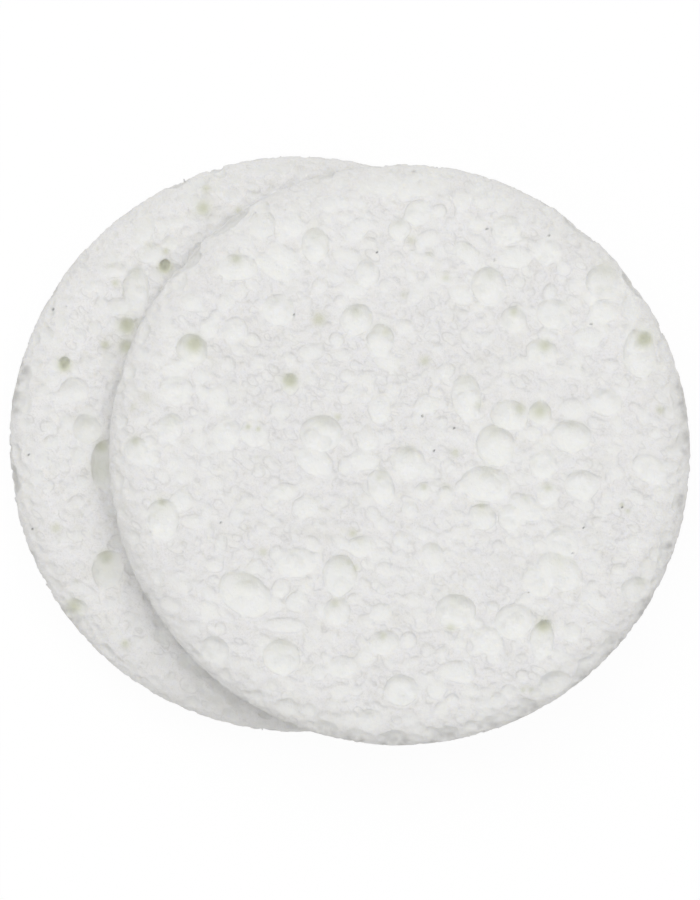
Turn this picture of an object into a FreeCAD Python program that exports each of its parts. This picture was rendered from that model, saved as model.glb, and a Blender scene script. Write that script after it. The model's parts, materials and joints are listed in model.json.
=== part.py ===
import FreeCAD, Part
import math
import os
from FreeCAD import Vector

# A pair of round cellulose sponges for cleansing the face, lying one on the other as they come
# out of the hand. Millimetres. The origin is under the middle of the pair, on the surface that
# the lower sponge lies on. X runs along the way the upper sponge is shifted, Z is up.

# Driving dimensions of one sponge. Both are cut by the same die from the same block.
sponge_diameter = 76.0
sponge_thickness = 9.5

# The edge of both faces is worn round: how far in over the face, and how far down the rim.
worn_edge_run = 5.0
worn_edge_drop = 1.9

# Air pockets, where the foaming left bubbles in the cellulose and the knife opened them.
pocket_radius = 3.2  # the mouth of the largest pocket that no photograph shows
pocket_deepest = 1.25  # the wide pockets have flat floors, no deeper than this
pocket_overrun = 0.3  # how far a cutter reaches out of the face

# How the upper sponge lies on the lower one.
upper_shift_x = 13.5
upper_shift_y = -1.4
seat_gap = 0.15  # the two faces touch only by their fibres

# Worked out from the sizes above.
sponge_radius = sponge_diameter / 2
upper_base_height = sponge_thickness + seat_gap

# The worn edge is drawn as bevels whose corners lie on its curve: shares of its run and drop.
worn_edge_shares = [(0, 1), (0.13, 0.58), (0.37, 0.22), (1, 0)]

# A pocket is a bowl with plane walls. Its rings from the mouth down: shares of the mouth's size
# and of the depth.
pocket_sides = 10
bowl_shares = [(0.90, 0.60), (0.62, 1.00)]
mouth_share = 1.06  # where the cutter leaves the face
pocket_depth_share = 0.68  # of its half width, for a pocket of depth share 1

# Each disc in the photograph: its middle, right and down, and its radius.
upper_disc_pixels = (399.5, 454.6, 290.1)
lower_disc_pixels = (297.0, 444.0, 287.2)

# The pockets that show, read by eye from the photograph: right, down, width and height in
# pixels, the tilt in degrees, and the depth share.
upper_top_pocket_pixels = [
    (418, 212, 26, 24, 0, 0.7),
    (261, 223, 26, 26, 0, 0.7),
    (316, 246, 26, 30, 0, 0.9),
    (400, 230, 20, 18, 0, 0.9),
    (507, 230, 28, 28, 0, 0.6),
    (236, 267, 40, 24, 0, 0.8),
    (367, 274, 22, 24, 0, 0.7),
    (489, 287, 32, 36, 0, 0.9),
    (607, 282, 40, 34, 0, 0.8),
    (278, 310, 32, 28, 0, 0.7),
    (356, 320, 30, 28, 35, 0.9),
    (380, 340, 26, 30, 0, 0.8),
    (514, 320, 24, 24, 0, 0.8),
    (553, 314, 32, 28, 0, 0.7),
    (192, 350, 28, 30, 0, 1.0),
    (542, 352, 28, 22, 0, 0.8),
    (641, 353, 32, 46, 0, 1.0),
    (177, 390, 32, 26, 0, 0.7),
    (290, 385, 16, 20, 0, 1.1),
    (467, 397, 28, 44, 0, 0.8),
    (510, 415, 34, 28, 0, 0.7),
    (540, 413, 20, 22, 0, 1.0),
    (605, 402, 30, 26, 0, 0.7),
    (135, 450, 22, 26, 0, 0.8),
    (171, 428, 24, 24, 0, 0.8),
    (322, 434, 42, 34, 0, 0.8),
    (496, 446, 36, 38, 0, 0.8),
    (572, 437, 38, 30, 0, 0.8),
    (382, 488, 24, 36, 25, 0.8),
    (408, 462, 32, 30, 0, 0.8),
    (487, 484, 48, 34, 0, 0.8),
    (543, 464, 26, 26, 0, 0.6),
    (548, 494, 22, 20, 0, 0.8),
    (582, 485, 34, 28, 0, 0.7),
    (162, 518, 32, 36, 0, 0.8),
    (482, 517, 26, 24, 0, 0.8),
    (527, 508, 32, 22, -35, 0.7),
    (296, 563, 40, 28, 0, 0.7),
    (340, 577, 32, 40, 0, 0.8),
    (361, 547, 26, 20, 0, 0.8),
    (434, 558, 20, 30, 20, 0.8),
    (559, 572, 48, 32, -35, 0.8),
    (246, 595, 58, 40, -35, 0.9),
    (337, 612, 24, 26, 0, 0.8),
    (456, 611, 38, 34, 0, 0.9),
    (539, 583, 30, 24, -35, 0.6),
    (640, 590, 34, 22, 0, 0.8),
    (214, 652, 28, 28, 0, 0.7),
    (281, 658, 36, 32, 0, 0.8),
    (384, 643, 28, 22, 0, 0.8),
    (487, 640, 34, 24, -35, 0.7),
    (513, 622, 34, 34, 0, 0.7),
    (542, 640, 22, 34, 0, 1.0),
    (402, 690, 34, 30, 0, 0.7),
    (556, 686, 32, 26, 0, 0.6),
]
lower_top_pocket_pixels = [
    (137, 288, 24, 40, 0, 0.9),
    (74, 390, 27, 22, 0, 0.7),
    (87, 430, 26, 26, 0, 0.8),
    (103, 464, 22, 50, 0, 1.0),
    (107, 570, 28, 36, 0, 0.9),
]

# Pockets where nothing shows: right and back from the sponge's middle as shares of its radius,
# and the mouth as a share of pocket_radius.
upper_base_pocket_shares = [(-0.46, 0.40, 0.80), (0.50, -0.38, 0.70)]
lower_top_pocket_shares = [(0.34, 0.22, 0.84)]
lower_base_pocket_shares = [(-0.40, -0.46, 0.78), (0.56, 0.28, 0.64)]

# Pockets in the rim: the way round from +X as a share of a turn, the height as a share of the
# thickness, and the mouth as a share of pocket_radius.
upper_rim_pocket_shares = [(0.94, 0.56, 0.50), (0.80, 0.46, 0.44)]
lower_rim_pocket_shares = [(0.45, 0.50, 0.50), (0.62, 0.44, 0.44)]


def sponge_blank():
    """The die-cut disc with the worn edges of its faces, standing on the XY plane."""
    base_edge = [
        Vector(sponge_radius - worn_edge_run * run, 0, worn_edge_drop * drop)
        for run, drop in reversed(worn_edge_shares)
    ]
    top_edge = [
        Vector(sponge_radius - worn_edge_run * run, 0, sponge_thickness - worn_edge_drop * drop)
        for run, drop in worn_edge_shares
    ]
    middle_line = [Vector(0, 0, sponge_thickness), Vector(0, 0, 0)]
    outline = Part.makePolygon([Vector(0, 0, 0)] + base_edge + top_edge + middle_line)
    return Part.Face(outline).revolve(Vector(0, 0, 0), Vector(0, 0, 1), 360)


def face_drop(reach):
    """How far a face has fallen below its middle, at that distance from the middle."""
    run_share = max(sponge_radius - reach, 0) / worn_edge_run
    for (outer_run, outer_drop), (inner_run, inner_drop) in zip(worn_edge_shares, worn_edge_shares[1:]):
        if run_share <= inner_run:
            part_way = (run_share - outer_run) / (inner_run - outer_run)
            return worn_edge_drop * (outer_drop + (inner_drop - outer_drop) * part_way)
    return 0


def pocket_cutter(half_width, half_height, depth_share):
    """A bowl whose mouth lies in the XY plane and opens along +Z."""
    short = min(half_width, half_height)
    depth = min(pocket_depth_share * depth_share * short, pocket_deepest)
    levels = [(mouth_share, pocket_overrun)]
    levels += [(size_share, -depth * sunk_share) for size_share, sunk_share in bowl_shares]
    turns = [2 * math.pi * side / pocket_sides for side in range(pocket_sides + 1)]
    rings = [
        [Vector(half_width * size * math.cos(turn), half_height * size * math.sin(turn), height)
         for turn in turns]
        for size, height in levels
    ]
    faces = [Part.Face(Part.makePolygon(rings[0])), Part.Face(Part.makePolygon(rings[-1]))]
    for upper, lower in zip(rings, rings[1:]):
        for side in range(pocket_sides):
            corners = [upper[side], upper[side + 1], lower[side + 1], lower[side], upper[side]]
            faces.append(Part.Face(Part.makePolygon(corners)))
    return Part.Solid(Part.Shell(faces))


def shown_pockets(pocket_pixels, disc_pixels):
    """Cutters for the pockets that the photograph shows in a sponge's top."""
    middle_right, middle_down, radius_pixels = disc_pixels
    pixel = sponge_radius / radius_pixels
    cutters = []
    for right, down, width, height, tilt, depth_share in pocket_pixels:
        place = Vector((right - middle_right) * pixel, (middle_down - down) * pixel, 0)
        cutter = pocket_cutter(width / 2 * pixel, height / 2 * pixel, depth_share)
        cutter.rotate(Vector(0, 0, 0), Vector(0, 0, 1), tilt)
        cutter.translate(place + Vector(0, 0, sponge_thickness - face_drop(place.Length)))
        cutters.append(cutter)
    return cutters


def face_pockets(pocket_shares, top):
    """Cutters for round pockets in the top or the base."""
    cutters = []
    for right_share, back_share, size_share in pocket_shares:
        cutter = pocket_cutter(pocket_radius * size_share, pocket_radius * size_share, 1)
        place = Vector(sponge_radius * right_share, sponge_radius * back_share, 0)
        drop = face_drop(place.Length)
        if not top:
            cutter.rotate(Vector(0, 0, 0), Vector(1, 0, 0), 180)
        cutter.translate(place + Vector(0, 0, sponge_thickness - drop if top else drop))
        cutters.append(cutter)
    return cutters


def rim_pockets(pocket_shares):
    """Cutters for round pockets in the rim."""
    cutters = []
    for turn_share, height_share, size_share in pocket_shares:
        cutter = pocket_cutter(pocket_radius * size_share, pocket_radius * size_share, 1)
        cutter.rotate(Vector(0, 0, 0), Vector(0, 1, 0), 90)
        cutter.translate(Vector(sponge_radius, 0, sponge_thickness * height_share))
        cutter.rotate(Vector(0, 0, 0), Vector(0, 0, 1), 360 * turn_share)
        cutters.append(cutter)
    return cutters


def make_sponge(cutters, right, back, base_height):
    """One whole sponge with its open pockets, moved to where it lies."""
    sponge = sponge_blank().cut(cutters).Solids[0]
    sponge.translate(Vector(right, back, base_height))
    return sponge


lower_pockets = shown_pockets(lower_top_pocket_pixels, lower_disc_pixels)
lower_pockets += face_pockets(lower_top_pocket_shares, True)
lower_pockets += face_pockets(lower_base_pocket_shares, False)
lower_pockets += rim_pockets(lower_rim_pocket_shares)

upper_pockets = shown_pockets(upper_top_pocket_pixels, upper_disc_pixels)
upper_pockets += face_pockets(upper_base_pocket_shares, False)
upper_pockets += rim_pockets(upper_rim_pocket_shares)

nodes = {
    "lower_sponge": make_sponge(lower_pockets, -upper_shift_x / 2, -upper_shift_y / 2, 0),
    "upper_sponge": make_sponge(upper_pockets, upper_shift_x / 2, upper_shift_y / 2, upper_base_height),
}

os.makedirs("parts", exist_ok=True)
for name, shape in nodes.items():
    shape.exportStep(f"parts/{name}.step")
    box = shape.BoundBox
    print(f"{name}: {box.XLength:.2f} x {box.YLength:.2f} x {box.ZLength:.2f}, "
          f"{shape.Volume:.0f} mm3, {len(shape.Solids)} solid, valid {shape.isValid()}")
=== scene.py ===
import json
import math

import bpy
import numpy as np
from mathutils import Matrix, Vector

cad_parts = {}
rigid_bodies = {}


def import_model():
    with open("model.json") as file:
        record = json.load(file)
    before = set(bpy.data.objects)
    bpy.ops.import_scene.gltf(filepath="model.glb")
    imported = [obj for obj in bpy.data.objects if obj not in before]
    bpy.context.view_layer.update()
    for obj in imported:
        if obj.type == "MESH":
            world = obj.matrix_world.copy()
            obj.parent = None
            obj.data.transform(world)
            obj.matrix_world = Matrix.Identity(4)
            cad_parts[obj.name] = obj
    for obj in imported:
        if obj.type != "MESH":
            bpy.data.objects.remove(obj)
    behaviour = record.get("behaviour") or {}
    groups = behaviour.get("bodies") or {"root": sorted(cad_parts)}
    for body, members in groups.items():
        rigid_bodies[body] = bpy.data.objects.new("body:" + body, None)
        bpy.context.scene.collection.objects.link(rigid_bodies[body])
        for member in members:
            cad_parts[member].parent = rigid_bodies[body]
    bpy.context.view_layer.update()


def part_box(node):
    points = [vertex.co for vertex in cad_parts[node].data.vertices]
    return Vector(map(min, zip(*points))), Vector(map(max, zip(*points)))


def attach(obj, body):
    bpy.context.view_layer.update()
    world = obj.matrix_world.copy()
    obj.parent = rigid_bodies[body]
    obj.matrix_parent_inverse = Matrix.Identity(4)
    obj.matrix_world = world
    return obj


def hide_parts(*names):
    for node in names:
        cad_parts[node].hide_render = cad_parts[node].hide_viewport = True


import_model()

# Two round cellulose face sponges, one lying on the other, seen from straight above.
# Metres, in the frame of the CAD model: X to the right of the picture, Y up it, Z towards the eye.
mm = 0.001

photo = {
    "width": 700,  # pixels
    "height": 900,
    "focalPixels": 7283,  # how many pixels a thing as wide as its distance would cover
    "cameraPlace": (0.265 * mm, -0.10 * mm, 973 * mm),
    "sensor": 36,
    "clipNear": 0.05,
    "clipFar": 20,
}

floorSettings = {
    "size": 4.0,
    "seenColour": "FFFFFF",
    "bounceColour": "DCDCDA",
    "shadowShare": 0.05,  # how much of the object's shadow the camera sees
}

lightSettings = {
    "softbox": {"size": 0.9, "distance": 1.05, "lean": 19, "turn": 0, "power": 4.72, "colour": "FFFFFF"},
    "room": {"colour": "FFFFFF", "strength": 0.68, "seenColour": "FFFFFF"},
}


def linearColour(hexText):
    channels = []
    for start in (0, 2, 4):
        value = int(hexText[start:start + 2], 16) / 255
        channels.append(value / 12.92 if value <= 0.04045 else ((value + 0.055) / 1.055) ** 2.4)
    return (*channels, 1)


def addNode(tree, kind, inputs=None, **settings):
    # an input is a number or colour, another node's output, or a node, whose first output is meant
    node = tree.nodes.new("ShaderNode" + kind)
    for name, value in settings.items():
        setattr(node, name, value)
    for socketName, value in (inputs or {}).items():
        if isinstance(value, bpy.types.Node):
            value = value.outputs[0]
        if isinstance(value, bpy.types.NodeSocket):
            tree.links.new(value, node.inputs[socketName])
        else:
            node.inputs[socketName].default_value = value
    return node


def newMaterial(name):
    material = bpy.data.materials.new(name)
    material.use_nodes = True
    material.node_tree.nodes.clear()
    return material, material.node_tree


def useOnly(piece):
    bpy.ops.object.select_all(action="DESELECT")
    piece.select_set(True)
    bpy.context.view_layer.objects.active = piece


def applyModifier(piece, kind, **settings):
    useOnly(piece)
    modifier = piece.modifiers.new(kind.title(), kind)
    for name, value in settings.items():
        setattr(modifier, name, value)
    bpy.ops.object.modifier_apply(modifier=modifier.name)


camera = bpy.data.objects.new("camera", bpy.data.cameras.new("camera"))
bpy.context.scene.collection.objects.link(camera)
camera.location = photo["cameraPlace"]
camera.data.sensor_width = photo["sensor"]
camera.data.lens = photo["focalPixels"] * photo["sensor"] / max(photo["width"], photo["height"])
camera.data.clip_start = photo["clipNear"]
camera.data.clip_end = photo["clipFar"]
bpy.context.scene.camera = camera
bpy.context.scene.view_settings.view_transform = "Standard"


def fromPhoto(px, py, height):
    # where a point of the photograph lies, if it is at that height
    cameraX, cameraY, cameraZ = photo["cameraPlace"]
    metresPerPixel = (cameraZ - height) / photo["focalPixels"]
    right = cameraX + (px - photo["width"] / 2) * metresPerPixel
    back = cameraY - (py - photo["height"] / 2) * metresPerPixel
    return right, back, metresPerPixel


def addSoftbox(settings):
    data = bpy.data.lights.new("softbox", "AREA")
    data.shape = "DISK"
    data.size = settings["size"]
    data.energy = settings["power"]
    data.color = linearColour(settings["colour"])[:3]
    lamp = bpy.data.objects.new("softbox", data)
    bpy.context.scene.collection.objects.link(lamp)
    lean, turn = math.radians(settings["lean"]), math.radians(settings["turn"])
    reach = settings["distance"] * math.sin(lean)
    lamp.location = (reach * math.sin(turn), reach * math.cos(turn), settings["distance"] * math.cos(lean))
    lamp.rotation_euler = (-lean, 0, -turn)


def addRoomLight(settings):
    world = bpy.data.worlds.new("room")
    bpy.context.scene.world = world
    world.use_nodes = True
    tree = world.node_tree
    tree.nodes.clear()
    path = addNode(tree, "LightPath")
    seen = path.outputs["Is Camera Ray"]
    for mirrored in ("Is Glossy Ray", "Is Transmission Ray"):
        seen = addNode(tree, "Math", {0: seen, 1: path.outputs[mirrored]}, operation="MAXIMUM")
    light = addNode(tree, "Background",
                    {"Color": linearColour(settings["colour"]), "Strength": settings["strength"]})
    backdrop = addNode(tree, "Background", {"Color": linearColour(settings["seenColour"]), "Strength": 1.0})
    room = addNode(tree, "MixShader", {0: seen, 1: light, 2: backdrop})
    addNode(tree, "OutputWorld", {"Surface": room})


def addFloor(settings):
    bpy.ops.object.select_all(action="DESELECT")
    bpy.ops.mesh.primitive_plane_add(size=settings["size"])
    floor = bpy.context.object
    floor.name = "floor"
    # painted board: dead matt, and the camera sees it as paper white with only a trace of the shadow
    material, tree = newMaterial("matt painted board")
    path = addNode(tree, "LightPath")
    tone = addNode(tree, "Mix",
                   {"Factor": path.outputs["Is Camera Ray"], "A": linearColour(settings["bounceColour"]),
                    "B": linearColour(settings["seenColour"])}, data_type="RGBA")
    paint = addNode(tree, "BsdfDiffuse", {"Color": tone.outputs["Result"]})
    white = addNode(tree, "Emission", {"Color": linearColour(settings["seenColour"]), "Strength": 1.0})
    share = addNode(tree, "Math", {0: path.outputs["Is Camera Ray"], 1: 1 - settings["shadowShare"]},
                    operation="MULTIPLY")
    seen = addNode(tree, "MixShader", {0: share, 1: paint, 2: white})
    addNode(tree, "OutputMaterial", {"Surface": seen})
    floor.data.materials.append(material)


addSoftbox(lightSettings["softbox"])
addRoomLight(lightSettings["room"])
addFloor(floorSettings)
print("camera, light and floor are in place")

# Both are cut by the same die from the same block of foam.
spongeSettings = {
    "radius": 38 * mm,
    "thickness": 9.5 * mm,
    "skin": 0.02 * mm,  # how far the foam stays inside the CAD solid at its faces
    "proud": 0.35 * mm,  # how far the rim starts outside it, before its relief is pressed in
    "roundSides": 256,
    "bubbleVoxel": 0.2 * mm,
    "foamVoxel": 0.22 * mm,
    "quickVoxel": 0.36 * mm,
    "smoothing": 2,
}

# The worn edge of both faces: how far in from the rim, and how far down from the face.
edgeProfile = [
    (0.0 * mm, 2.05 * mm), (0.45 * mm, 1.52 * mm), (1.0 * mm, 1.0 * mm), (1.6 * mm, 0.61 * mm),
    (2.2 * mm, 0.38 * mm), (3.2 * mm, 0.20 * mm), (4.6 * mm, 0.07 * mm), (6.5 * mm, 0.0 * mm),
]

# Pores read from the photograph: right and down in pixels, width, height, degrees of
# tilt, and the share of the usual depth.
upperTopPores = [
    (422, 180, 36, 30, 0, 0.4), (328, 203, 16, 14, 0, 0.5), (344, 203, 14, 12, 0, 0.5),
    (346, 217, 18, 12, 0, 0.5), (385, 181, 34, 26, 0, 0.35), (418, 212, 26, 24, 0, 0.7),
    (461, 198, 18, 22, 0, 0.6), (482, 196, 22, 24, 0, 0.6), (504, 199, 20, 18, 0, 0.6),
    (261, 223, 26, 26, 0, 0.7), (284, 255, 36, 18, -35, 0.7), (294, 226, 20, 18, 0, 0.6),
    (316, 246, 26, 30, 0, 0.9), (358, 229, 28, 18, 35, 0.6), (400, 230, 20, 18, 0, 0.9),
    (427, 240, 26, 16, 35, 0.6), (429, 259, 14, 12, 0, 0.9), (441, 249, 16, 12, 0, 0.5),
    (467, 252, 28, 16, -35, 0.8), (507, 230, 28, 28, 0, 0.6), (517, 257, 34, 20, 0, 0.6),
    (548, 252, 28, 26, 0, 0.35), (178, 278, 16, 24, 0, 0.5), (236, 267, 40, 24, 0, 0.8),
    (274, 267, 40, 18, -35, 0.6), (335, 276, 18, 14, 0, 0.5), (352, 289, 28, 16, 0, 0.6),
    (367, 274, 22, 24, 0, 0.7), (415, 297, 16, 14, 0, 0.5), (422, 285, 18, 12, 0, 0.5),
    (433, 280, 14, 20, 0, 0.5), (446, 278, 10, 14, 0, 1), (461, 295, 24, 18, -35, 0.6),
    (489, 287, 32, 36, 0, 0.9), (540, 277, 12, 12, 0, 0.5), (571, 286, 13, 13, 0, 0.5),
    (607, 282, 40, 34, 0, 0.8), (191, 301, 22, 18, 0, 0.5), (209, 329, 18, 20, 0, 0.6),
    (226, 302, 20, 16, 0, 0.5), (235, 330, 24, 24, 0, 0.35), (278, 310, 32, 28, 0, 0.7),
    (356, 320, 30, 28, 35, 0.9), (380, 340, 26, 30, 0, 0.8), (404, 327, 22, 14, 0, 0.6),
    (514, 320, 24, 24, 0, 0.8), (553, 314, 32, 28, 0, 0.7), (588, 337, 28, 18, 0, 0.6),
    (603, 312, 24, 20, 0, 0.6), (633, 308, 20, 24, 0, 0.6), (176, 370, 28, 18, 0, 0.35),
    (192, 350, 28, 30, 0, 1), (200, 377, 16, 16, 0, 0.5), (312, 352, 26, 16, 0, 0.5),
    (343, 355, 18, 12, 0, 0.5), (367, 378, 18, 16, 0, 0.5), (389, 362, 26, 18, 0, 0.5),
    (523, 363, 26, 14, 0, 0.5), (542, 352, 28, 22, 0, 0.8), (577, 373, 16, 14, 0, 0.5),
    (602, 377, 14, 12, 0, 0.5), (611, 365, 16, 12, 0, 0.5), (641, 353, 32, 46, 0, 1),
    (177, 390, 32, 26, 0, 0.7), (218, 400, 20, 30, 0, 0.35), (268, 397, 11, 11, 0, 0.5),
    (280, 412, 20, 20, 0, 0.35), (290, 385, 16, 20, 0, 1.1), (380, 408, 22, 28, 0, 0.6),
    (393, 389, 16, 14, 0, 0.5), (427, 404, 24, 18, 0, 0.7), (467, 397, 28, 44, 0, 0.8),
    (510, 415, 34, 28, 0, 0.7), (540, 413, 20, 22, 0, 1), (573, 408, 26, 20, 0, 0.35),
    (605, 402, 30, 26, 0, 0.7), (135, 450, 22, 26, 0, 0.8), (152, 457, 16, 16, 0, 0.5),
    (171, 428, 24, 24, 0, 0.8), (199, 438, 14, 20, 0, 0.6), (226, 434, 26, 32, 0, 0.35),
    (255, 433, 26, 26, 0, 0.5), (322, 434, 42, 34, 0, 0.8), (346, 444, 12, 16, 0, 0.5),
    (368, 438, 22, 22, 0, 0.6), (387, 437, 14, 16, 0, 0.5), (496, 446, 36, 38, 0, 0.8),
    (521, 437, 10, 14, 0, 0.5), (533, 434, 14, 14, 0, 0.7), (572, 437, 38, 30, 0, 0.8),
    (598, 455, 14, 8, 0, 0.5), (638, 438, 12, 12, 0, 0.5), (256, 460, 14, 8, 0, 0.9),
    (286, 492, 28, 16, 0, 0.7), (314, 461, 38, 24, -35, 0.6), (365, 460, 28, 20, 0, 0.6),
    (365, 500, 14, 14, 0, 0.5), (382, 488, 24, 36, 25, 0.8), (408, 462, 32, 30, 0, 0.8),
    (424, 492, 16, 18, 0, 0.7), (447, 495, 16, 16, 0, 0.5), (447, 465, 13, 13, 0, 0.5),
    (487, 484, 48, 34, 0, 0.8), (522, 478, 24, 14, 0, 0.5), (543, 464, 26, 26, 0, 0.6),
    (548, 494, 22, 20, 0, 0.8), (582, 485, 34, 28, 0, 0.7), (650, 470, 38, 24, -35, 0.6),
    (162, 518, 32, 36, 0, 0.8), (181, 501, 22, 20, 0, 0.5), (192, 522, 20, 14, 0, 0.5),
    (307, 507, 26, 20, 0, 0.5), (343, 502, 14, 12, 0, 0.5), (460, 533, 20, 16, 0, 0.5),
    (482, 517, 26, 24, 0, 0.8), (511, 518, 22, 24, 0, 0.6), (527, 508, 32, 22, -35, 0.7),
    (215, 565, 18, 14, 0, 0.6), (296, 563, 40, 28, 0, 0.7), (340, 577, 32, 40, 0, 0.8),
    (361, 547, 26, 20, 0, 0.8), (434, 558, 20, 30, 20, 0.8), (450, 553, 14, 10, 0, 0.5),
    (559, 572, 48, 32, -35, 0.8), (563, 543, 30, 32, 0, 0.35), (620, 572, 20, 14, 0, 0.5),
    (649, 569, 18, 20, 0, 0.5), (168, 606, 24, 14, 0, 0.5), (208, 612, 24, 18, 0, 0.35),
    (246, 595, 58, 40, -35, 0.9), (281, 588, 18, 18, 0, 0.6), (297, 602, 20, 20, 0, 0.5),
    (337, 612, 24, 26, 0, 0.8), (355, 600, 14, 12, 0, 0.5), (380, 613, 22, 18, 0, 0.5),
    (412, 600, 24, 14, 0, 0.5), (456, 611, 38, 34, 0, 0.9), (471, 582, 14, 14, 0, 0.5),
    (539, 583, 30, 24, -35, 0.6), (599, 602, 30, 16, -35, 0.5), (640, 590, 34, 22, 0, 0.8),
    (214, 652, 28, 28, 0, 0.7), (260, 640, 16, 12, 0, 0.5), (281, 658, 36, 32, 0, 0.8),
    (284, 625, 44, 14, 0, 0.6), (368, 656, 20, 18, 0, 0.5), (384, 643, 28, 22, 0, 0.8),
    (408, 641, 16, 16, 0, 0.5), (460, 643, 14, 14, 0, 0.5), (487, 640, 34, 24, -35, 0.7),
    (513, 622, 34, 34, 0, 0.7), (517, 645, 14, 10, 0, 0.5), (542, 640, 22, 34, 0, 1),
    (559, 627, 12, 18, 0, 0.5), (573, 633, 18, 18, 0, 0.6), (233, 663, 14, 14, 0, 0.5),
    (340, 690, 20, 16, 0, 0.5), (342, 668, 32, 22, 0, 0.5), (402, 690, 34, 30, 0, 0.7),
    (436, 690, 18, 18, 0, 0.6), (457, 671, 34, 20, 0, 0.6), (470, 690, 16, 14, 0, 0.5),
    (528, 690, 16, 8, 0, 0.8), (556, 686, 32, 26, 0, 0.6), (286, 709, 22, 20, 0, 0.6),
    (369, 722, 26, 22, 0, 0.6), (410, 720, 16, 14, 0, 0.5),
]
lowerTopPores = [
    (254, 195, 16, 8, 0, 0.8), (143, 224, 20, 28, 0, 0.5), (150, 252, 24, 18, 0, 0.8),
    (113, 270, 22, 14, 0, 0.8), (137, 288, 24, 40, 0, 0.9), (118, 306, 22, 16, 0, 0.6),
    (22, 374, 12, 18, 0, 0.5), (22, 403, 14, 26, 0, 0.5), (74, 390, 27, 22, 0, 0.7),
    (87, 430, 26, 26, 0, 0.8), (36, 477, 14, 14, 0, 0.6), (40, 461, 14, 14, 0, 0.6),
    (103, 464, 22, 50, 0, 0.6), (107, 570, 28, 36, 0, 0.6), (74, 609, 24, 16, 0, 0.6),
    (76, 586, 18, 12, 0, 0.8),
]

# Where the foam is thin over the next bubble, or open to it: right, down, and half width in
# pixels, and how dark it looks, from 0 to 1, which is painted on as shade.
upperTopHoles = [
    (319, 319, 8, 0.45), (194, 344, 7, 0.66), (645, 339, 6, 0.70), (425, 361, 6, 0.40), (338, 417, 4, 0.40),
    (455, 453, 5, 0.40), (478, 405, 5, 0.25), (520, 409, 6, 0.45), (540, 411, 6, 0.48), (660, 410, 5, 0.40),
    (622, 505, 3, 0.40), (628, 511, 3, 0.40), (263, 552, 5, 0.35), (348, 563, 4, 0.35), (355, 568, 4, 0.40),
    (353, 533, 5, 0.40), (335, 604, 5, 0.40), (451, 627, 5, 0.45), (383, 636, 5, 0.40), (544, 626, 6, 0.56),
    (162, 503, 5, 0.45), (379, 478, 4, 0.35), (147, 397, 6, 0.20), (133, 408, 5, 0.20), (290, 381, 6, 0.60),
    (424, 487, 4, 0.40), (482, 506, 5, 0.40), (514, 312, 5, 0.45), (548, 488, 5, 0.35), (525, 498, 4, 0.25),
    (236, 259, 6, 0.45), (545, 346, 5, 0.48), (523, 690, 3, 0.40), (531, 690, 3, 0.40),
    (135, 441, 5, 0.40), (248, 427, 2, 0.60), (258, 429, 2, 0.60), (446, 278, 4, 0.35), (356, 311, 7, 0.30),
    (386, 332, 6, 0.30), (411, 240, 5, 0.25), (404, 295, 5, 0.25), (447, 487, 5, 0.20),
]
lowerTopHoles = [
    (165, 267, 5, 0.92), (166, 251, 4, 0.45), (203, 208, 6, 0.50), (206, 188, 5, 0.40), (238, 210, 4, 0.40),
    (127, 326, 7, 0.60), (115, 283, 4, 0.45), (105, 345, 5, 0.45), (127, 347, 6, 0.50), (64, 365, 5, 0.91),
    (56, 528, 6, 0.40), (125, 644, 5, 0.45), (102, 447, 8, 0.44), (106, 557, 9, 0.44), (74, 606, 6, 0.50),
    (101, 468, 15, 0.22), (104, 572, 15, 0.12),
]

# Pores that the knife opened in the rim, seen from above as notches in the outline.
upperRimNotches = [
    (677, 392), (680, 411), (681, 443), (682, 504), (668, 553), (640, 603), (612, 643), (585, 670),
    (525, 707), (480, 703), (445, 732), (437, 714), (395, 735), (355, 738), (327, 723),
]
lowerRimNotches = [(22, 374), (22, 403), (74, 612)]

# Dark specks caught in the foam.
upperSpecks = [
    (549, 235), (487, 229), (495, 260), (591, 324), (294, 315), (377, 252), (422, 416), (454, 428),
    (434, 451), (221, 523), (584, 528), (573, 553), (622, 507),
]
lowerSpecks = [(28, 455), (32, 529), (53, 309)]

# The "solid" pores are those that the CAD solids have where nothing shows. On a face: right and
# back as shares of the radius. On the rim: share of a turn, share of the thickness. Then the
# mouth as a share of the widest.
upperSponge = {
    "name": "upperSponge",
    "node": "upper_sponge",
    "body": "upper",
    "seed": 21,
    "topPores": upperTopPores,
    "topHoles": upperTopHoles,
    "rimNotches": upperRimNotches,
    "specks": upperSpecks,
    "solidTopPores": [],
    "solidBasePores": [(-0.46, 0.40, 0.80), (0.50, -0.38, 0.70)],
    "solidRimPores": [(0.94, 0.56, 0.50), (0.80, 0.46, 0.44)],
    "topRandomLarge": 0,  # its whole top is read from the photograph
    "fill": 0.75,
}
lowerSponge = {
    "name": "lowerSponge",
    "node": "lower_sponge",
    "body": "lower",
    "seed": 34,
    "topPores": lowerTopPores,
    "topHoles": lowerTopHoles,
    "rimNotches": lowerRimNotches,
    "specks": lowerSpecks,
    "solidTopPores": [(0.34, 0.22, 0.84)],
    "solidBasePores": [(-0.40, -0.46, 0.78), (0.56, 0.28, 0.64)],
    "solidRimPores": [(0.45, 0.50, 0.50), (0.62, 0.44, 0.44)],
    "topRandomLarge": 150,
    "fill": 0.75,
}

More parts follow.
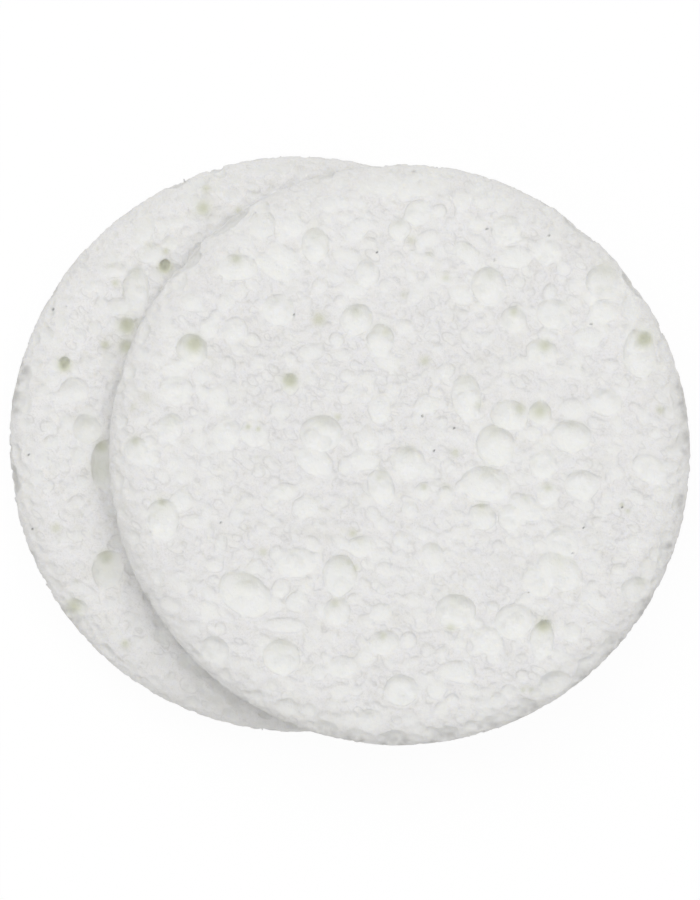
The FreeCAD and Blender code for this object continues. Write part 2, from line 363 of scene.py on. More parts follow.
# Pores that no photograph shows one by one. Half widths and margins in millimetres.
poreSettings = {
    "solid": 3.2,
    "large": {"low": 0.8, "high": 3.4, "power": 2.2, "gap": 1.02, "depth": (0.4, 1.0)},
    "medium": {"low": 0.5, "high": 1.0, "power": 1.4, "gap": 0.88, "depth": (0.35, 0.75)},
    "small": {"low": 0.24, "high": 0.60, "power": 1.2, "gap": 0.80, "depth": (0.2, 0.6)},
    "faceCounts": {"large": 150, "medium": 640, "small": 3400},
    "rimCounts": {"large": 26, "medium": 160, "small": 1300},
    "tries": 9,  # for a free place, before one is given up
    "rimMargin": 0.3,  # how far in from the rim the face's outermost ones lie
    "coverMargin": 3.5,  # how far in under the upper sponge the lower one's large ones begin
    "leanDegrees": -35,  # the foam was drawn out a little along this way
    "leanSpread": 28,
    "stretch": 0.45,
}

# The bubble behind a pore: only its floor is left in a shallow one, half of it in a deep one.
bubbleSettings = {
    "depth": 0.6,  # of a pore of depth share 1, against its half width
    "deepest": 1.1 * mm,  # the widest pores have flat floors, no deeper than this
    "standOff": 0.42,  # how far a shallow one's middle is outside the face, against its own depth
    "standOffLoss": 0.46,  # how much lower a deep one's middle lies
    "shallowShare": 0.35,  # the depth share up to which it is shallow
    "shareSpan": 0.65,  # how much more makes it deep
    "floorPower": 0.42,  # below 1 its floor is flat and its walls are steep
    "swell": 0.10,  # how much each one bulges and is dented
}

# Smaller pores in the floor of a wide one, where the next bubbles begin.
floorPoreSettings = {
    "count": 4,
    "leastPixels": 22,  # width of the narrowest that has them, where it is read from the photograph
    "leastOnFace": 1.4 * mm,  # half width of the narrowest other one
    "leastOnRim": 0.9 * mm,
    "size": (0.2, 0.42),  # half width, against the wide one's
    "flatness": 0.85,
    "reach": 0.62,  # from the middle, against the wide one's half width
    "sunk": 0.95,  # of its depth
    "depth": (0.7, 1.3),
}

# The painted shade under the far wall of a deep pore.
poreShadeSettings = {
    "leastShare": 0.75,
    "behind": 0.36,  # of the pore's height
    "sunk": 0.4 * mm,
    "size": 0.26,  # of its shorter side
    "strength": 0.15,
}

# Thin places over the next bubble, and holes into it. Sizes against the half width.
holeSettings = {
    "dimpleFrom": 0.46,  # darkness; a fainter one is only painted shade
    "openFrom": 0.9,
    "onFloor": 0.6,  # how far down it starts, of the depth of the pore that it lies in
    "inPore": 0.45,  # how near to that pore's middle it has to lie
    "faintSize": 0.85,
    "shadeSize": 1.2,
    "shadeSunk": 0.4,
    "slant": 38,  # degrees
    "shaft": (0.8, 0.62, 1.5),
    "shaftSunk": 0.55,
    "pinholes": 34,  # on a face that the photograph doesn't show
    "pinholeSize": (0.4, 0.9),  # half width in millimetres
    "pinholeDarkness": (0.2, 1.0),
}

# Notches that the knife left in the rim, with broken walls round them painted in shade.
rimSettings = {
    "notchSize": (1.0, 1.6),  # half width in millimetres
    "notchFlatness": 0.7,
    "notchDepth": 0.9,
    "notchLift": 52,  # degrees that it is turned up
    "walls": 6,
    "wallSpan": 0.8,  # how far to both sides they stand, against its half width
    "wallShift": 0.1,
    "wallInward": (0.1, 1.0),  # millimetres
    "wallSize": (0.36, 0.60),
    "wallStrength": (1.2, 2.6),
    "depthGain": 2.0,  # the other pores of the rim are that much deeper than a face's
    "tiltSpread": 30,
}


def scatterDiscs(rng, count, size, taken, draw):
    # throws discs, the widest first, and keeps those that stay clear of the ones already there
    places = np.array(taken, float).reshape(-1, 3)
    found = []
    widths = size["low"] + (size["high"] - size["low"]) * rng.random(count) ** size["power"]
    for halfWidth in np.sort(widths)[::-1] * mm:
        for _ in range(poreSettings["tries"]):
            right, up = draw(rng)
            away = np.hypot(places[:, 0] - right, places[:, 1] - up)
            clear = away - size["gap"] * (places[:, 2] + halfWidth)
            if len(places) == 0 or clear.min() > 0:
                places = np.vstack([places, (right, up, halfWidth)])
                found.append((right, up, halfWidth))
                break
    return found


def thrownCount(counts, sizeName):
    return counts[sizeName] // 2 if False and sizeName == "small" else counts[sizeName]


def drawOnFace(rng):
    reach = (spongeSettings["radius"] - poreSettings["rimMargin"] * mm) * math.sqrt(rng.random())
    angle = 2 * math.pi * rng.random()
    return reach * math.cos(angle), reach * math.sin(angle)


def drawOnRim(rng):
    half = spongeSettings["thickness"] / 2 - edgeProfile[0][1]
    return 2 * math.pi * spongeSettings["radius"] * rng.random(), half * (2 * rng.random() - 1)


def drawUnderUpper(piece):
    # what shows beside the upper sponge is read from the photograph, so none is thrown there
    over, here = spongeMiddle(upperSponge), spongeMiddle(piece)
    offset = (over[0] - here[0], over[1] - here[1])
    reach = spongeSettings["radius"] - poreSettings["coverMargin"] * mm

    def draw(rng):
        while True:
            right, back = drawOnFace(rng)
            if math.hypot(right - offset[0], back - offset[1]) < reach:
                return right, back

    return draw


def faceDrop(reach):
    # how far the face has fallen at that distance from the middle
    return np.interp(spongeSettings["radius"] + spongeSettings["proud"] - reach, *zip(*edgeProfile))


def poreDepth(halfWidth, depthShare):
    return min(bubbleSettings["depth"] * depthShare ** 0.5 * halfWidth, bubbleSettings["deepest"])


def randomWays(rng, count):
    ways = rng.normal(size=(count, 3))
    return ways / np.linalg.norm(ways, axis=1, keepdims=True)


class BubbleBag:
    # gathers bubbles, each a middle and three half axes, and makes them all into one mesh
    def __init__(self, rng):
        self.rng = rng
        self.rows = []
        self.paintedShades = []
        self.notchShades = []

    def add(self, middle, right, up, outward):
        self.rows.append(np.array([middle, right, up, outward], float))

    def addPore(self, middle, axes, halfWidth, halfHeight, tilt, depthShare):
        # a bubble that leaves a mouth of that size where its face is, and goes that deep
        rightAxis, upAxis, outAxis = (np.array(axis, float) for axis in axes)
        over = (depthShare - bubbleSettings["shallowShare"]) / bubbleSettings["shareSpan"]
        standOff = bubbleSettings["standOff"] - bubbleSettings["standOffLoss"] * np.clip(over, 0, 1)
        semiDepth = poreDepth(min(halfWidth, halfHeight), depthShare) / (1 - standOff)
        widen = 1 / math.sqrt(1 - standOff ** 2)
        cosine, sine = math.cos(math.radians(tilt)), math.sin(math.radians(tilt))
        along = rightAxis * cosine + upAxis * sine
        across = upAxis * cosine - rightAxis * sine
        self.add(np.array(middle) + outAxis * standOff * semiDepth,
                 along * halfWidth * widen, across * halfHeight * widen, outAxis * semiDepth)

    def addFloorPores(self, middle, axes, halfWidth, tilt, depthShare):
        settings = floorPoreSettings
        sunk = poreDepth(halfWidth, depthShare)
        rightAxis, upAxis, outAxis = (np.array(axis, float) for axis in axes)
        for _ in range(settings["count"]):
            size = halfWidth * self.rng.uniform(*settings["size"])
            reach = halfWidth * settings["reach"] * math.sqrt(self.rng.random())
            angle = 2 * math.pi * self.rng.random()
            place = np.array(middle) + reach * (math.cos(angle) * rightAxis + math.sin(angle) * upAxis)
            self.addPore(place - settings["sunk"] * sunk * outAxis, axes, size, size * settings["flatness"],
                         tilt, self.rng.uniform(*settings["depth"]))

    def build(self, name):
        bpy.ops.object.select_all(action="DESELECT")
        bpy.ops.mesh.primitive_ico_sphere_add(subdivisions=3, radius=1)
        ball = bpy.context.object
        points = np.array([vertex.co for vertex in ball.data.vertices])
        faces = np.array([face.vertices[:] for face in ball.data.polygons])
        bpy.data.objects.remove(ball)
        flatFloored = points.copy()
        flatFloored[:, 2] = np.sign(points[:, 2]) * np.abs(points[:, 2]) ** bubbleSettings["floorPower"]
        rows = np.array(self.rows)
        count = len(rows)
        # no two bubbles are alike: each bulges one way and is dented another
        bulge = np.einsum("pk,nk->np", points, randomWays(self.rng, count))
        dent = np.einsum("pk,nk->np", points, randomWays(self.rng, count))
        amount = bubbleSettings["swell"]
        swell = 1 + amount * bulge ** 3 + amount * (dent ** 2 - 0.5)
        shaped = flatFloored[None] * swell[:, :, None]
        corners = np.einsum("npk,nkc->npc", shaped, rows[:, 1:]) + rows[:, None, 0]
        corners = corners.reshape(-1, 3)
        loops = (faces[None] + (np.arange(count) * len(points))[:, None, None]).reshape(-1)
        mesh = bpy.data.meshes.new(name)
        mesh.vertices.add(len(corners))
        mesh.vertices.foreach_set("co", corners.astype(np.float32).ravel())
        mesh.loops.add(len(loops))
        mesh.loops.foreach_set("vertex_index", loops.astype(np.int32))
        mesh.polygons.add(len(loops) // 3)
        mesh.polygons.foreach_set("loop_start", np.arange(0, len(loops), 3, dtype=np.int32))
        mesh.update(calc_edges=True)
        bubbles = bpy.data.objects.new(name, mesh)
        bpy.context.scene.collection.objects.link(bubbles)
        return bubbles


def spongeMiddle(piece):
    low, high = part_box(piece["node"])
    return [(a + b) / 2 for a, b in zip(low, high)]


def localFromPhoto(piece, px, py):
    # a place on the sponge's top, from its middle, and how long a pixel is there
    middle = spongeMiddle(piece)
    right, back, pixel = fromPhoto(px, py, middle[2] + spongeSettings["thickness"] / 2)
    return right - middle[0], back - middle[1], pixel


def addReadPores(bag, piece, face, axes):
    # the pores and holes of the top that are read from the photograph; gives the places they take
    taken = []
    for px, py, width, height, tilt, depthShare in piece["topPores"]:
        right, back, pixel = localFromPhoto(piece, px, py)
        level = face - faceDrop(math.hypot(right, back))
        shorter = min(width, height)
        bag.addPore((right, back, level), axes, width / 2 * pixel, height / 2 * pixel, tilt, depthShare)
        if shorter >= floorPoreSettings["leastPixels"]:
            bag.addFloorPores((right, back, level), axes, shorter / 2 * pixel, tilt, depthShare)
        # painted shade under the far wall of a deep pore
        if depthShare > poreShadeSettings["leastShare"]:
            behind = poreShadeSettings["behind"] * height * pixel
            bag.paintedShades.append((right, back + behind, level - poreShadeSettings["sunk"],
                               poreShadeSettings["size"] * shorter * pixel, poreShadeSettings["strength"]))
        taken.append((right, back, (width + height) / 4 * pixel))
    for px, py, halfWidth, darkness in piece["topHoles"]:
        right, back, pixel = localFromPhoto(piece, px, py)
        addDeepHole(bag, (right, back), face, 1, halfWidth * pixel, darkness, poreFloor(piece, px, py))
        taken.append((right, back, halfWidth * pixel))
    return taken


def addFacePores(bag, rng, piece, side):
    # side is 1 for the top and -1 for the underside; pores are placed from the sponge's middle
    face = spongeSettings["thickness"] / 2 - spongeSettings["skin"]
    axes = ((1, 0, 0), (0, side, 0), (0, 0, side))
    taken = []
    for rightShare, backShare, mouthShare in piece["solidTopPores" if side == 1 else "solidBasePores"]:
        right, back = rightShare * spongeSettings["radius"], backShare * spongeSettings["radius"]
        halfWidth = mouthShare * poreSettings["solid"] * mm
        level = face - faceDrop(math.hypot(right, back))
        bag.addPore((right, back, side * level), axes, halfWidth, halfWidth, 0, 1.0)
        taken.append((right, back, halfWidth))
    counts = dict(poreSettings["faceCounts"])
    drawLarge = drawOnFace
    if side == 1:
        taken += addReadPores(bag, piece, face, axes)
        counts["large"] = piece["topRandomLarge"]
        if counts["large"]:
            drawLarge = drawUnderUpper(piece)
    for sizeName in ("large", "medium", "small"):
        size = poreSettings[sizeName]
        draw = drawLarge if sizeName == "large" else drawOnFace
        found = scatterDiscs(rng, thrownCount(counts, sizeName), size, taken, draw)
        taken += found
        for right, back, halfWidth in found:
            stretch = math.sqrt(1 + poreSettings["stretch"] * rng.random())
            tilt = poreSettings["leanDegrees"] + poreSettings["leanSpread"] * rng.normal()
            depthShare = rng.uniform(*size["depth"])
            place = (right, back, side * (face - faceDrop(math.hypot(right, back))))
            bag.addPore(place, axes, halfWidth * stretch, halfWidth / stretch, tilt, depthShare)
            if sizeName == "large" and halfWidth > floorPoreSettings["leastOnFace"]:
                bag.addFloorPores(place, axes, halfWidth / stretch, tilt, depthShare)
    if side == -1 or piece["topRandomLarge"]:
        for _ in range(holeSettings["pinholes"]):
            place = drawLarge(rng)
            halfWidth = rng.uniform(*holeSettings["pinholeSize"]) * mm
            darkness = rng.uniform(*holeSettings["pinholeDarkness"])
            addDeepHole(bag, place, face, side, halfWidth, darkness)


def poreFloor(piece, px, py):
    # about how deep the pore is that a hole lies in, if it lies in one
    deepest = 0
    for x, y, width, height, _, depthShare in piece["topPores"]:
        if math.hypot((px - x) / width, (py - y) / height) < holeSettings["inPore"]:
            pixel = localFromPhoto(piece, px, py)[2]
            deepest = max(deepest, bubbleSettings["depth"] * depthShare * min(width, height) / 2 * pixel)
    return min(deepest, bubbleSettings["deepest"])


def addDeepHole(bag, place, face, side, halfWidth, darkness, floor=0):
    # a soft dimple with painted shade where the foam is thin over the next bubble; a faint one is only
    # painted shade, and the darkest are open and slant back
    right, back = place
    axes = ((1, 0, 0), (0, side, 0), (0, 0, side))
    level = face - faceDrop(math.hypot(right, back)) - holeSettings["onFloor"] * floor
    if darkness < holeSettings["dimpleFrom"]:
        bag.paintedShades.append((right, back, side * level, holeSettings["faintSize"] * halfWidth, darkness))
        return
    bag.addPore((right, back, side * level), axes, halfWidth, halfWidth, 0, 1.0)
    bag.paintedShades.append((right, back, side * (level - holeSettings["shadeSunk"] * halfWidth),
                       holeSettings["shadeSize"] * halfWidth, darkness))
    if darkness > holeSettings["openFrom"]:
        slant = math.radians(holeSettings["slant"])
        wide, narrow, long = holeSettings["shaft"]
        down = np.array((0, math.sin(slant), -side * math.cos(slant)))
        across = np.array((0, math.cos(slant), side * math.sin(slant)))
        middle = np.array((right, back, side * level)) + holeSettings["shaftSunk"] * halfWidth * down
        bag.add(middle, (wide * halfWidth, 0, 0), narrow * halfWidth * across, long * halfWidth * down)


def addRimNotch(bag, rng, radius, angle, halfWidth, height, inward):
    settings = rimSettings
    addRimPore(bag, angle, height, radius - inward, halfWidth, settings["notchFlatness"] * halfWidth, 0,
               settings["notchDepth"], settings["notchLift"])
    for shift in np.linspace(-settings["wallSpan"], settings["wallSpan"], settings["walls"]):
        jitter = rng.uniform(-settings["wallShift"], settings["wallShift"])
        turned = angle + (shift + jitter) * halfWidth / radius
        reach = radius - rng.uniform(*settings["wallInward"]) * mm
        level = spongeSettings["thickness"] / 2 - faceDrop(reach)
        size = rng.uniform(*settings["wallSize"]) * mm
        # painted shade on the broken walls round the notch
        bag.notchShades.append((reach * math.cos(turned), reach * math.sin(turned), level, size,
                            rng.uniform(*settings["wallStrength"])))


def addRimPores(bag, rng, piece):
    radius = spongeSettings["radius"] + spongeSettings["proud"]
    inward, drop = edgeProfile[2]  # where the notches lie
    taken = []
    for turnShare, heightShare, mouthShare in piece["solidRimPores"]:
        angle = 2 * math.pi * turnShare
        height = (heightShare - 0.5) * spongeSettings["thickness"]
        halfWidth = mouthShare * poreSettings["solid"] * mm
        addRimPore(bag, angle, height, radius, halfWidth, halfWidth, 0, 1.0)
        taken.append((angle * spongeSettings["radius"], height, halfWidth))
    for px, py in piece["rimNotches"]:
        right, back, _ = localFromPhoto(piece, px, py)
        angle = math.atan2(back, right) % (2 * math.pi)
        height = spongeSettings["thickness"] / 2 - drop
        halfWidth = rng.uniform(*rimSettings["notchSize"]) * mm
        addRimNotch(bag, rng, radius, angle, halfWidth, height, inward)
        taken.append((angle * spongeSettings["radius"], height, halfWidth))
    for sizeName in ("large", "medium", "small"):
        size = poreSettings[sizeName]
        count = thrownCount(poreSettings["rimCounts"], sizeName)
        found = scatterDiscs(rng, count, size, taken, drawOnRim)
        taken += found
        for along, height, halfWidth in found:
            depthShare = rimSettings["depthGain"] * rng.uniform(*size["depth"])
            stretch = math.sqrt(1 + poreSettings["stretch"] * rng.random())
            tilt = rimSettings["tiltSpread"] * rng.normal()
            addRimPore(bag, along / spongeSettings["radius"], height, radius,
                       halfWidth * stretch, halfWidth / stretch, tilt, depthShare)


def addRimPore(bag, angle, height, radius, halfWidth, halfHeight, tilt, depthShare, lift=0):
    # lift turns the pore up, for one that lies on the worn edge
    way, up = (math.cos(angle), math.sin(angle)), math.radians(lift)
    outward = (way[0] * math.cos(up), way[1] * math.cos(up), math.sin(up))
    upward = (-way[0] * math.sin(up), -way[1] * math.sin(up), math.cos(up))
    axes = ((-way[1], way[0], 0), upward, outward)
    place = (way[0] * radius, way[1] * radius, height)
    bag.addPore(place, axes, halfWidth, halfHeight, tilt, depthShare)
    if halfHeight > floorPoreSettings["leastOnRim"]:
        bag.addFloorPores(place, axes, halfHeight, tilt, depthShare)


def cutBlank(name):
    # the disc as the die cuts it: a cylinder whose faces rise in steps from their worn edge
    settings = spongeSettings
    bpy.ops.object.select_all(action="DESELECT")
    bpy.ops.mesh.primitive_cylinder_add(
        vertices=settings["roundSides"], radius=settings["radius"] + settings["proud"],
        depth=settings["thickness"] - 2 * settings["skin"] - 2 * edgeProfile[0][1])
    blank = bpy.context.object
    blank.name = name
    for side in (1, -1):
        bpy.ops.object.mode_set(mode="EDIT")
        bpy.ops.mesh.select_mode(type="FACE")
        bpy.ops.mesh.select_all(action="DESELECT")
        bpy.ops.object.mode_set(mode="OBJECT")
        for face in blank.data.polygons:
            # only the cap has more than four corners
            face.select = face.normal.z * side > 0.99 and len(face.vertices) > 4
        bpy.ops.object.mode_set(mode="EDIT")
        for outer, inner in zip(edgeProfile, edgeProfile[1:]):
            bpy.ops.mesh.inset(thickness=inner[0] - outer[0])
            bpy.ops.transform.translate(value=(0, 0, side * (outer[1] - inner[1])))
        bpy.ops.object.mode_set(mode="OBJECT")
    return blank


def readPoints(piece):
    points = np.empty(len(piece.data.vertices) * 3, np.float32)
    piece.data.vertices.foreach_get("co", points)
    return points.reshape(-1, 3)


def dropCrumbs(piece, starts=40):
    # keeps what most points hang together in, because bits that the pores cut loose would hang
    # in the air; the search for it begins at the rim
    points = readPoints(piece)
    order = np.argsort(-np.hypot(points[:, 0], points[:, 1]))
    for start in order[:: max(len(order) // starts, 1)]:
        bpy.ops.object.mode_set(mode="EDIT")
        bpy.ops.mesh.select_mode(type="VERT")
        bpy.ops.mesh.select_all(action="DESELECT")
        bpy.ops.object.mode_set(mode="OBJECT")
        piece.data.vertices[int(start)].select = True
        bpy.ops.object.mode_set(mode="EDIT")
        bpy.ops.mesh.select_linked()
        bpy.ops.object.mode_set(mode="OBJECT")
        chosen = np.empty(len(piece.data.vertices), bool)
        piece.data.vertices.foreach_get("select", chosen)
        if chosen.mean() > 0.5:
            break
    bpy.ops.object.mode_set(mode="EDIT")
    bpy.ops.mesh.select_all(action="INVERT")
    bpy.ops.mesh.delete(type="VERT")
    bpy.ops.object.mode_set(mode="OBJECT")
    return int((~chosen).sum())


# The foam's own relief, finer than its pores. Sizes and depths in millimetres.
reliefSettings = [
    {"kind": "VORONOI", "size": 1.1, "depth": 0.12},  # cells, each a shallow dish
    {"kind": "CLOUDS", "size": 0.42, "depth": 0.07},
    {"kind": "CLOUDS", "size": 13.0, "depth": 0.18},
]


def roughen(piece):
    for relief in reliefSettings:
        texture = bpy.data.textures.new("relief", relief["kind"])
        texture.noise_scale = relief["size"] * mm
        applyModifier(piece, "DISPLACE", texture=texture, texture_coords="LOCAL",
                      strength=relief["depth"] * mm, mid_level=1.0)


# Where the pores' lips, the crests between bubbles and the walls left in the rim get painted shade, how far
# spots of painted shade reach, and the specks.
wallSettings = {
    "depthBlur": 3,  # rounds
    "crestBlur": 12,
    "crestHeight": 0.16 * mm,  # over its surroundings, for a crest that takes the painted shade in full
    "crestStrength": 0.7,
    "lipDepth": 0.26 * mm,  # a pore's lip, just under its mouth
    "lipWidth": 0.13 * mm,
    "lipInward": 5 * mm,  # none nearer to the rim
    "steepFrom": 0.2,  # how far to the side a lip leans, and how much more makes it full
    "steepSpan": 0.35,
    "rimDepth": 0.5 * mm,  # of the walls that the pores left standing in the rim
    "rimSpan": 0.3 * mm,
    "rimExcess": 1.4,  # above 1 they are full over some depth
    "rimTurnFrom": 0.93,  # how straight outwards the rim faces where it is no wall
    "rimTurnSpan": 0.3,
    "rimStrength": 0.9,
    "rimWidth": 2 * mm,
    "rimHeight": 2.6 * mm,  # to both sides of the middle
    "spotReach": 3,  # how far a spot of painted shade is followed, against its size
    "spotHeight": 0.4,  # under 1, the painted shade reaches far down
    "speckSize": 0.15 * mm,
    "speckCore": 1.3,  # above 1 its middle is evenly dark
}


def blurOverMesh(sponge, values, rounds):
    # each point takes on half of what its neighbours have, so that colours fade into each other
    ends = np.empty(len(sponge.data.edges) * 2, np.int32)
    sponge.data.edges.foreach_get("vertices", ends)
    here, there = ends.reshape(-1, 2).T
    count = len(values)
    neighbours = np.bincount(here, minlength=count) + np.bincount(there, minlength=count)
    for _ in range(rounds):
        around = np.bincount(here, values[there], count) + np.bincount(there, values[here], count)
        values = 0.5 * (values + around / neighbours)
    return values


def spread(points, spots):
    # how strongly each point is touched by the nearest of the spots
    touched = np.zeros(len(points))
    for x, y, z, size, strength in spots:
        near = np.abs(points[:, 0] - x) < wallSettings["spotReach"] * size
        offset = (points[near] - (x, y, z)) * (1, 1, wallSettings["spotHeight"])
        away = np.linalg.norm(offset, axis=1) / size
        touched[near] = np.maximum(touched[near], strength * np.exp(-away ** 2))
    return touched


def findShadedWalls(sponge, points, reach, edge, depth):
    # how much painted shade each point takes: on a crest, a pore's lip, or a wall left in the rim
    settings = wallSettings
    rise = blurOverMesh(sponge, depth, settings["crestBlur"]) - depth
    walls = settings["crestStrength"] * np.clip(rise / settings["crestHeight"], 0, 1)
    normals = np.empty(len(points) * 3, np.float32)
    sponge.data.vertices.foreach_get("normal", normals)
    normals = normals.reshape(-1, 3)
    sideways = np.linalg.norm(normals[:, :2], axis=1)
    steep = np.clip((sideways - settings["steepFrom"]) / settings["steepSpan"], 0, 1)
    lip = np.clip(1 - np.abs(depth - settings["lipDepth"]) / settings["lipWidth"], 0, 1) * steep
    walls = np.maximum(walls, np.where(edge > settings["lipInward"], lip, 0))
    outward = np.abs((normals[:, :2] * points[:, :2]).sum(axis=1)) / reach.clip(1 * mm)
    turned = np.clip((settings["rimTurnFrom"] - outward) / settings["rimTurnSpan"], 0, 1)
    offDepth = np.abs(depth - settings["rimDepth"]) / settings["rimSpan"]
    rimWall = turned * np.clip(settings["rimExcess"] - offDepth, 0, 1)
    onRim = (edge < settings["rimWidth"]) & (np.abs(points[:, 2]) < settings["rimHeight"])
    return np.maximum(walls, np.where(onRim, settings["rimStrength"] * rimWall, 0))


def markSurface(piece, sponge, bag):
    # writes down what the material reads at each point
    points = readPoints(sponge).astype(float)
    reach = np.hypot(points[:, 0], points[:, 1])
    edge = np.clip(spongeSettings["radius"] + spongeSettings["proud"] - reach, 0, None)
    face = spongeSettings["thickness"] / 2 - np.interp(edge, *zip(*edgeProfile))
    below = np.minimum(face - np.abs(points[:, 2]), edge)
    depth = blurOverMesh(sponge, below, wallSettings["depthBlur"])
    # painted shade on crests, lips and rim walls, and on the broken walls round the rim's notches
    walls = np.maximum(findShadedWalls(sponge, points, reach, edge, depth), spread(points, bag.notchShades))
    specks = np.zeros(len(points))
    onTop = points[:, 2] > 1 * mm
    for px, py in piece["specks"]:
        right, back, _ = localFromPhoto(piece, px, py)
        away = np.where(onTop, np.hypot(points[:, 0] - right, points[:, 1] - back), 1)
        speck = wallSettings["speckCore"] - away / wallSettings["speckSize"]
        specks = np.maximum(specks, np.clip(speck, 0, 1))
    for name, values in (("depthInMillimetres", depth / mm), ("edgeInMillimetres", edge / mm),
                         ("outlineShade", walls), ("paintedShade", spread(points, bag.paintedShades)), ("speck", specks)):
        attribute = sponge.data.attributes.new(name, "FLOAT", "POINT")
        attribute.data.foreach_set("value", values.astype(np.float32))


# Regenerated cellulose foam, bleached and cut with a knife: chalky and matt where the knife went,
# smoother inside the pores, and translucent enough that light wells up in them. Painted light makes
# the pore floors lighter, and painted shade darkens hollows, outlines, holes and the rim, and turns a
# faint olive yellow with depth. Sizes, depths and reliefs in millimetres. A range is where a colour
# starts and where it is full, and what it is then is in shares.
celluloseSettings = {
    # the lower sponge is painted lighter than the upper, to lift its face and the shadow that the upper one
    # casts on it
    "cutColour": {"upper": "EAE9E9", "lower": "F0EFEF"},
    # painted light: the pore floors and the middles of the little cells are lighter than the cut face
    "poreColour": "EFEFED",
    "poreRange": (0.2, 0.6),
    "outlineShadeColour": "C2C1C0",  # painted shade on pores' lips, crests and rim walls, and on the rings round the little cells
    "outlineShadeShare": 0.5,
    # painted shade in olive, growing with depth below the face and with the painted-shade marks
    "deepColour": "B7BA90",
    "deepRange": (1.5, 5.0),
    "oliveMost": 0.5,
    # painted shade, darkest in the holes
    "holeColour": "8E8E7E",
    "holeRange": (0.5, 1.0),
    "speckColour": "5A5A56",
    "mottleColour": "DFDED9",
    "mottleSize": 3.2,
    "mottleRange": (0.5, 0.75),
    "creviceColour": "D0CFCB",  # painted shade in the hollows between the fibres
    "creviceRange": (0.5, 0.3),
    "edgeColour": "C8C7C5",  # painted shade, darker towards the rim where it rounds over
    "edgeRange": (5.0, 0.0),
    "shares": {"hole": 0.52, "mottle": 0.55, "crevice": 0.5, "edge": 0.32, "cell": 0.42},
    "roughness": 0.92,
    "specular": 0.25,
    "glow": 0.6,  # share of light that goes in and comes out beside
    "glowReach": 1.2,
    "glowColours": (1.0, 0.95, 0.8),
    "fibreSize": 0.22,
    "fibreRelief": 0.17,
    "warpSize": 1.7,  # the little cells are drawn crooked
    "warp": 1.1,
    "cellSize": 2.0,
    "cellReach": (0.18, 0.50),  # radius of the little cells, in cell sizes
    "cellStretch": (1.35, 0.8, 1.0),
    "cellTurn": -35,
    "cellRelief": 0.26,
    "ringWidth": 0.09,
    "ringRange": (0.40, 0.56),  # it is broken where the noise is below this
    "ringShare": 0.44,
    "grainSize": 0.5,
    "grainRelief": 0.08,
    "reliefStrength": 0.8,
}


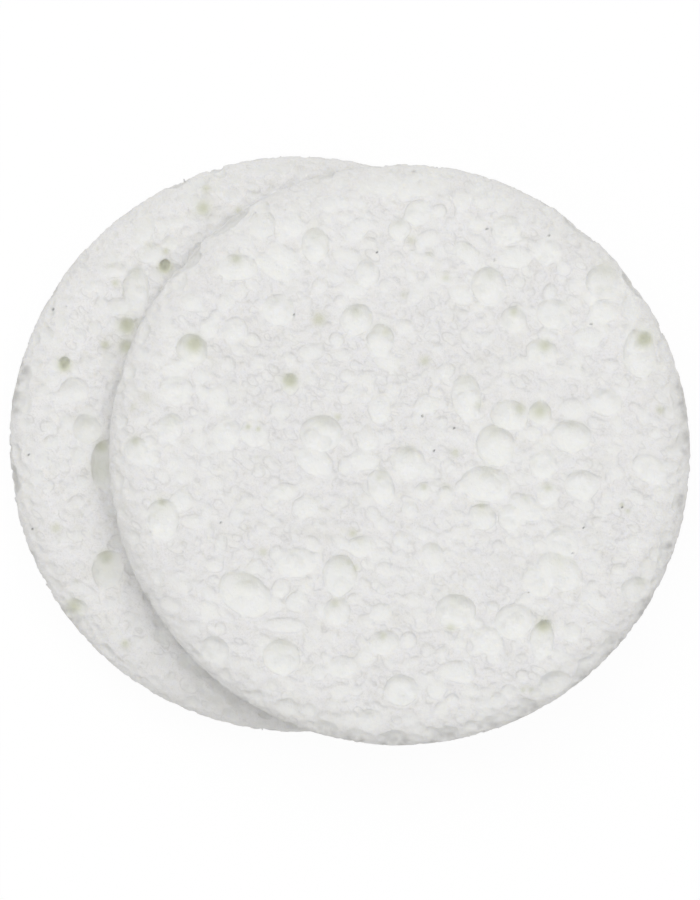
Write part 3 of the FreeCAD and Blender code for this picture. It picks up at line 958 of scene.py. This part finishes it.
def makeCellulose(piece, settings):
    material, tree = newMaterial("cellulose foam " + piece["body"])
    marks = {name: addNode(tree, "Attribute", attribute_name=name).outputs["Fac"]
             for name in ("depthInMillimetres", "edgeInMillimetres", "outlineShade", "paintedShade", "speck")}
    coordinates = addNode(tree, "TexCoord").outputs["Object"]
    middle = [-value for value in spongeMiddle(piece)]
    place = addNode(tree, "Mapping", {"Vector": coordinates, "Location": middle})

    # cloudy patches, the felt of fibres, and what draws the little cells crooked
    mottle = addNode(tree, "TexNoise",
                     {"Vector": place, "Scale": 1 / (settings["mottleSize"] * mm), "Detail": 3,
                      "Roughness": 0.55})
    fibre = addNode(tree, "TexNoise",
                    {"Vector": place, "Scale": 1 / (settings["fibreSize"] * mm), "Detail": 4,
                     "Roughness": 0.6})
    warp = addNode(tree, "TexNoise", {"Vector": place, "Scale": 1 / (settings["warpSize"] * mm), "Detail": 2})

    # how much of each colour shows
    share = {}
    for name, value in (
            ("pore", marks["depthInMillimetres"]), ("deep", marks["depthInMillimetres"]),
            ("hole", marks["paintedShade"]), ("edge", marks["edgeInMillimetres"]),
            ("mottle", mottle.outputs["Fac"]), ("crevice", fibre.outputs["Fac"]),
            ("ring", warp.outputs["Fac"])):
        start, full = settings[name + "Range"]
        share[name] = addNode(tree, "MapRange",
                              {"Value": value, "From Min": start, "From Max": full,
                               "To Max": settings["shares"].get(name, 1.0)})
    # painted olive shade, from depth and from the painted-shade marks
    olive = addNode(tree, "Math", {0: share["deep"], 1: marks["paintedShade"]}, operation="MAXIMUM")
    olive = addNode(tree, "Math", {0: olive, 1: settings["oliveMost"]}, operation="MINIMUM")

    # little cells of many sizes, drawn out along the lean of the foam, painted lighter inside, with broken
    # rings of painted shade round them
    warped = addNode(tree, "VectorMath", {0: warp.outputs["Color"], 1: [settings["warp"] * mm] * 3, 2: place},
                     operation="MULTIPLY_ADD")
    drawn = addNode(tree, "Mapping",
                    {"Vector": warped, "Rotation": (0, 0, math.radians(settings["cellTurn"])),
                     "Scale": settings["cellStretch"]}, vector_type="TEXTURE")
    cells = addNode(tree, "TexVoronoi", {"Vector": drawn, "Scale": 1 / (settings["cellSize"] * mm)},
                    feature="F1")
    reach = addNode(tree, "MapRange",
                    {"Value": cells.outputs["Color"], "From Min": 0.2, "From Max": 0.8,
                     "To Min": settings["cellReach"][0], "To Max": settings["cellReach"][1]})
    fromRing = addNode(tree, "Math", {0: cells.outputs["Distance"], 1: reach}, operation="SUBTRACT")
    inCell = addNode(tree, "MapRange",
                     {"Value": fromRing, "From Min": 0.0, "From Max": -2 * settings["ringWidth"],
                      "To Max": settings["shares"]["cell"]})
    onRing = addNode(tree, "Math", {0: fromRing}, operation="ABSOLUTE")
    ring = addNode(tree, "MapRange",
                   {"Value": onRing, "From Max": settings["ringWidth"],
                    "To Min": settings["ringShare"], "To Max": 0.0})
    outside = addNode(tree, "Math", {0: 1.0, 1: share["pore"]}, operation="SUBTRACT")
    web = addNode(tree, "Math", {0: ring, 1: share["ring"]}, operation="MULTIPLY")
    web = addNode(tree, "Math", {0: web, 1: outside}, operation="MULTIPLY")
    # painted shade on lips, crests, rim walls and the rings round the little cells
    outlineShade = addNode(tree, "Math", {0: marks["outlineShade"], 1: settings["outlineShadeShare"]}, operation="MULTIPLY")
    shadedOutlines = addNode(tree, "Math", {0: outlineShade, 1: web}, operation="MAXIMUM")

    # each colour is laid over those before it: painted light in the pores and little cells, painted shade in
    # the crevices, outlines, rings, towards the rim, with depth and in the holes
    colour = linearColour(settings["cutColour"][piece["body"]])
    for factor, name in (
            (share["mottle"], "mottle"), (share["crevice"], "crevice"), (inCell, "pore"),
            (share["pore"], "pore"), (shadedOutlines, "outlineShade"), (share["edge"], "edge"),
            (olive, "deep"), (share["hole"], "hole"), (marks["speck"], "speck")):
        laid = addNode(tree, "Mix",
                       {"Factor": factor, "A": colour, "B": linearColour(settings[name + "Colour"])},
                       data_type="RGBA")
        colour = laid.outputs["Result"]

    # dished cells, then the grain of the cut, then fibres, each on the ones before
    grain = addNode(tree, "TexVoronoi", {"Vector": place, "Scale": 1 / (settings["grainSize"] * mm)},
                    feature="F1")
    dish = addNode(tree, "Math", {0: fromRing, 1: 0.0}, operation="MINIMUM")
    normal = {}
    for height, relief in ((dish, "cellRelief"), (grain.outputs["Distance"], "grainRelief"),
                           (fibre.outputs["Fac"], "fibreRelief")):
        bump = addNode(tree, "Bump",
                       {"Height": height, "Distance": settings[relief] * mm,
                        "Strength": settings["reliefStrength"], **normal})
        normal = {"Normal": bump}
    foam = addNode(tree, "BsdfPrincipled",
                   {"Base Color": colour, "Roughness": settings["roughness"],
                    "Specular IOR Level": settings["specular"], "Subsurface Weight": settings["glow"],
                    "Subsurface Radius": settings["glowColours"],
                    "Subsurface Scale": settings["glowReach"] * mm, **normal})
    addNode(tree, "OutputMaterial", {"Surface": foam})
    return material


def makeSponge(piece):
    rng = np.random.default_rng(piece["seed"])
    bag = BubbleBag(rng)
    addFacePores(bag, rng, piece, 1)
    addFacePores(bag, rng, piece, -1)
    addRimPores(bag, rng, piece)
    bubbles = bag.build("bubbles")
    bubbleVoxel, foamVoxel = spongeSettings["bubbleVoxel"], spongeSettings["foamVoxel"]
    applyModifier(bubbles, "REMESH", mode="VOXEL", voxel_size=bubbleVoxel)
    print(piece["name"], "has", len(bag.rows), "bubbles")
    sponge = cutBlank(piece["name"])
    applyModifier(sponge, "BOOLEAN", operation="DIFFERENCE", solver="MANIFOLD", object=bubbles)
    bpy.data.objects.remove(bubbles)
    applyModifier(sponge, "REMESH", mode="VOXEL", voxel_size=foamVoxel)
    crumbs = dropCrumbs(sponge)
    applyModifier(sponge, "SMOOTH", iterations=spongeSettings["smoothing"])
    roughen(sponge)
    markSurface(piece, sponge, bag)
    useOnly(sponge)
    bpy.ops.object.shade_smooth()
    sponge.location = spongeMiddle(piece)
    bpy.ops.object.transform_apply(location=True, rotation=False, scale=False)
    sponge.data.materials.clear()
    sponge.data.materials.append(makeCellulose(piece, celluloseSettings))
    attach(sponge, piece["body"])
    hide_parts(piece["node"])
    print(piece["name"], "is made,", len(sponge.data.polygons), "faces,", crumbs, "loose points dropped")


makeSponge(lowerSponge)
makeSponge(upperSponge)
